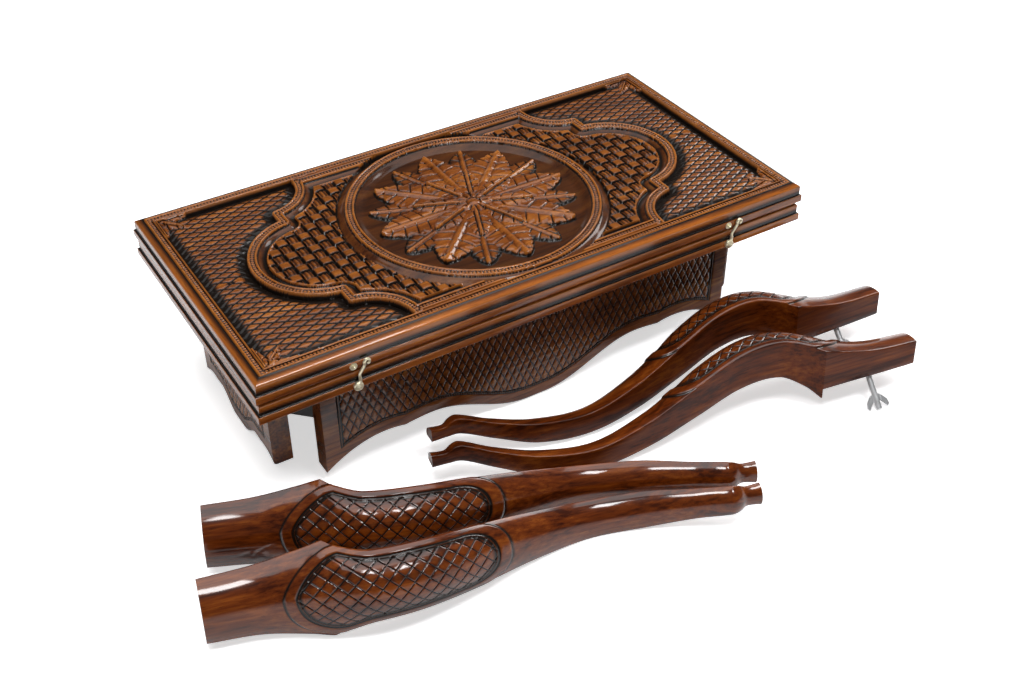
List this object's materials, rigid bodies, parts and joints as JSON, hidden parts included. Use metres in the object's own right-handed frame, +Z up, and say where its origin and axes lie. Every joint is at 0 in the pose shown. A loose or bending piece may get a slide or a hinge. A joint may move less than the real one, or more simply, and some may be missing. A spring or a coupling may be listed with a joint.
{
  "type": "carved backgammon table board with detached legs",
  "caption": "Carved folding backgammon board on a low apron frame, with hook latches, hinges and cabriole legs taken off and laid in front.",
  "frame": {"origin": "on the floor, under the middle of the box round the case and the legs that lie in front of it", "axes": "+X along the case's length, to the right as seen from the latches, +Y to the hinges at the back, +Z up"},
  "size_m": [0.7618, 0.5276, 0.1682],
  "materials": {
    "varnished_wood": "stained brown and varnished to a high gloss",
    "carved_wood": "carved, stained dark in the grounds, rubbed lighter on the high parts, glossy",
    "inner_wood": "stained, satin",
    "light_inlay": "light veneer, satin",
    "dark_inlay": "brown veneer, satin",
    "brass": "pale polished brass",
    "zinc": "bright zinc plate",
    "black_iron": "black",
    "light_checker": "light, polished",
    "dark_checker": "dark, polished",
    "bone_white": "bone white, polished"
  },
  "bodies": {
    "case": {"tray_rail_front": "varnished_wood", "tray_rail_back": "varnished_wood", "tray_rail_left": "varnished_wood", "tray_rail_right": "varnished_wood", "apron_front": "varnished_wood", "apron_back": "varnished_wood", "apron_left": "varnished_wood", "apron_right": "varnished_wood", "tray_play_surface": "inner_wood", "tray_bottom": "inner_wood", "apron_cleats": "inner_wood", "tray_points_light": "light_inlay", "tray_points_dark": "dark_inlay", "hinge_leaf_tray_left": "brass", "hinge_leaf_tray_right": "brass", "hook_plate_left": "brass", "hook_plate_right": "brass", "hook_pivots": "brass", "cleat_screws": "zinc", "bracket_screws": "zinc", "hinge_pin_left": "zinc", "hinge_pin_right": "zinc", "hinge_screws_tray": "zinc", "bracket_front_left": "black_iron", "bracket_front_right": "black_iron", "bracket_back_left": "black_iron", "bracket_back_right": "black_iron", "checkers_light": "light_checker", "checkers_dark": "dark_checker", "dice": "bone_white"},
    "lid": {"lid_rail_front": "varnished_wood", "lid_rail_back": "varnished_wood", "lid_rail_left": "varnished_wood", "lid_rail_right": "varnished_wood", "lid_carved_panel": "carved_wood", "lid_play_surface": "inner_wood", "lid_points_light": "light_inlay", "lid_points_dark": "dark_inlay", "hinge_leaf_lid_left": "brass", "hinge_leaf_lid_right": "brass", "keeper_left": "brass", "keeper_right": "brass", "hinge_screws_lid": "zinc"},
    "hook_left": {"hook_left": "brass"},
    "hook_right": {"hook_right": "brass"},
    "leg_front_left": {"leg_front_left": "varnished_wood", "bolt_front_left": "zinc"},
    "nut_front_left": {"wing_nut_front_left": "zinc"},
    "leg_front_right": {"leg_front_right": "varnished_wood", "bolt_front_right": "zinc"},
    "nut_front_right": {"wing_nut_front_right": "zinc"},
    "leg_back_left": {"leg_back_left": "varnished_wood", "bolt_back_left": "zinc"},
    "nut_back_left": {"wing_nut_back_left": "zinc"},
    "leg_back_right": {"leg_back_right": "varnished_wood", "bolt_back_right": "zinc"},
    "nut_back_right": {"wing_nut_back_right": "zinc"}
  },
  "joints": [
    {"name": "lid_open", "type": "hinge", "parent": "case", "child": "lid", "pos_m": [0.02347, 0.26123, 0.1461], "axis": [-1, 0, 0], "range_deg": [0, 180]},
    {"name": "hook_left_turn", "type": "hinge", "parent": "case", "child": "hook_left", "pos_m": [-0.18352, -0.04202, 0.128], "axis": [0, 1, 0], "range_deg": [-12, 90]},
    {"name": "hook_right_turn", "type": "hinge", "parent": "case", "child": "hook_right", "pos_m": [0.23048, -0.04202, 0.128], "axis": [0, 1, 0], "range_deg": [-12, 90]},
    {"name": "pull_front_left", "type": "slide", "parent": "case", "child": "leg_front_left", "axis": [0, -1, 0], "range_m": [0, 0.25]},
    {"name": "nut_turn_front_left", "type": "hinge", "parent": "leg_front_left", "child": "nut_front_left", "pos_m": [-0.327, -0.11846, 0.0231], "axis": [0.1823, 0.8387, -0.5133], "continuous": true},
    {"name": "lift_front_right", "type": "slide", "parent": "case", "child": "leg_front_right", "axis": [0, 0, 1], "range_m": [0, 0.25]},
    {"name": "nut_turn_front_right", "type": "hinge", "parent": "leg_front_right", "child": "nut_front_right", "pos_m": [0.30462, -0.18665, 0.02504], "axis": [-0.124, -0.7309, -0.6711], "continuous": true},
    {"name": "lift_back_left", "type": "slide", "parent": "case", "child": "leg_back_left", "axis": [-0.6, 0, 0.8], "range_m": [0, 0.25]},
    {"name": "nut_turn_back_left", "type": "hinge", "parent": "leg_back_left", "child": "nut_back_left", "pos_m": [-0.29376, -0.04713, 0.0231], "axis": [0.2761, 0.8126, -0.5133], "continuous": true},
    {"name": "pull_back_right", "type": "slide", "parent": "case", "child": "leg_back_right", "axis": [1, 0, 0], "range_m": [0, 0.25]},
    {"name": "nut_turn_back_right", "type": "hinge", "parent": "leg_back_right", "child": "nut_back_right", "pos_m": [0.33043, -0.11207, 0.02504], "axis": [-0.0495, -0.7397, -0.6711], "continuous": true}
  ]
}
